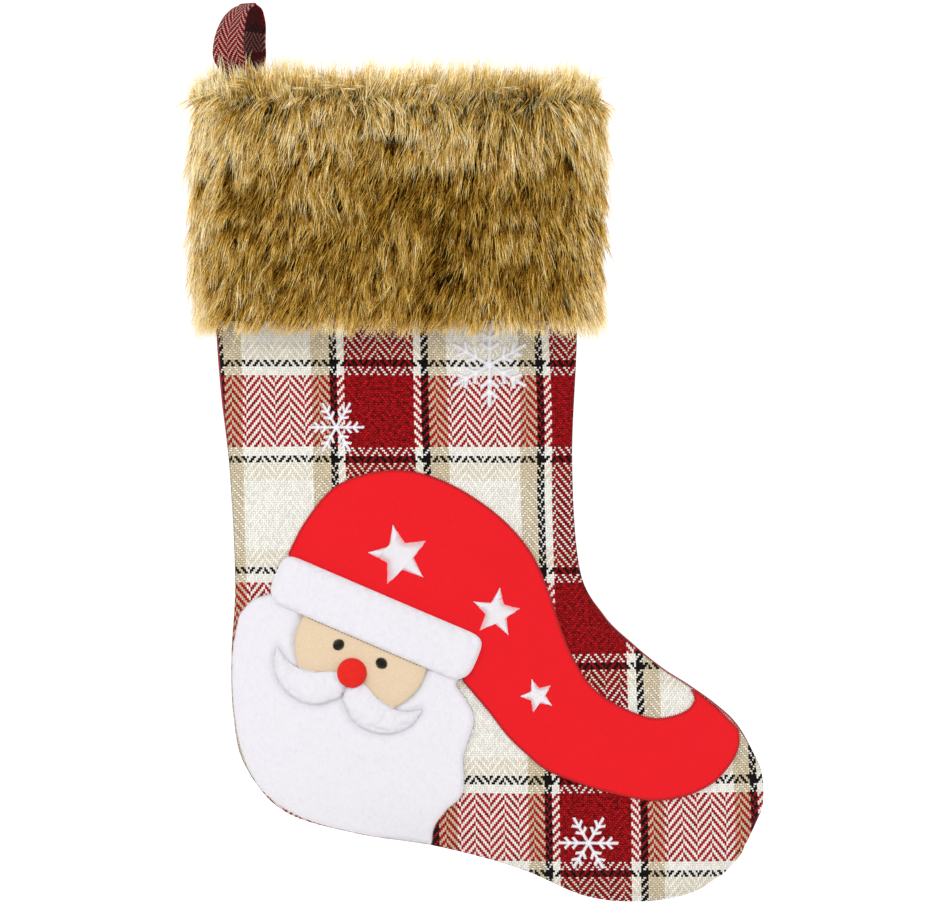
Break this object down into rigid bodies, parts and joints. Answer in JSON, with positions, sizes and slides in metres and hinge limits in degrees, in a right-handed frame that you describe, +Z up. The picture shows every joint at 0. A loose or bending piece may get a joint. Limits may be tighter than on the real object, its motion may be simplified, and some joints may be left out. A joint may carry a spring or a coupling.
{
  "type": "hanging stocking",
  "caption": "Plaid fabric stocking with a long-pile cuff, an open mouth for gifts, a bearded winter figure sewn on the front and a woven loop to hang it by.",
  "frame": {"origin": "the hook seat: the point of the loop's crown, on its inner face, that rests on a hook or nail", "axes": "+Z up, the decorated front faces -Y, the toe points to +X"},
  "size_m": [0.3119, 0.074, 0.4854],
  "materials": {
    "plaid_fabric": "yarn-dyed herringbone weave, matt",
    "red_backing": "plain brushed weave, matt",
    "lining_fabric": "plain light weave, matt",
    "faux_fur": "long pile, golden brown with dark roots",
    "facing_fabric": "knitted ground of the pile fabric",
    "white_plush": "short dense pile",
    "red_felt": "smooth felt",
    "skin_felt": "smooth felt",
    "white_thread": "satin stitch",
    "red_thread": "edge stitch",
    "black_thread": "satin stitch",
    "strap_fabric": "yarn-dyed herringbone weave, matt"
  },
  "bodies": {
    "stocking": {"front_panel": "plaid_fabric", "back_panel": "red_backing", "front_lining": "lining_fabric", "back_lining": "lining_fabric", "cuff_facing": "facing_fabric", "cuff_front": "faux_fur", "cuff_back": "faux_fur", "loop_seam_tail": "strap_fabric", "loop_bartack": "red_thread", "hat": "red_felt", "hat_brim": "white_plush", "beard": "white_plush", "face_patch": "skin_felt", "nose": "red_felt", "moustache_left": "white_plush", "moustache_right": "white_plush", "left_eye": "black_thread", "right_eye": "black_thread", "hat_stitching": "red_thread", "beard_stitching": "white_thread", "brim_stitching": "white_thread", "star_large": "white_thread", "star_medium": "white_thread", "star_small": "white_thread", "snowflake_upper_left": "white_thread", "snowflake_upper_right": "white_thread", "snowflake_toe": "white_thread"},
    "loop": {"hanging_loop": "strap_fabric"}
  },
  "joints": [
    {"name": "loop_swing", "type": "hinge", "parent": "stocking", "child": "loop", "pos_m": [0, 0, -0.043], "axis": [0.7694, -0.6388, 0], "range_deg": [-45, 45]}
  ]
}
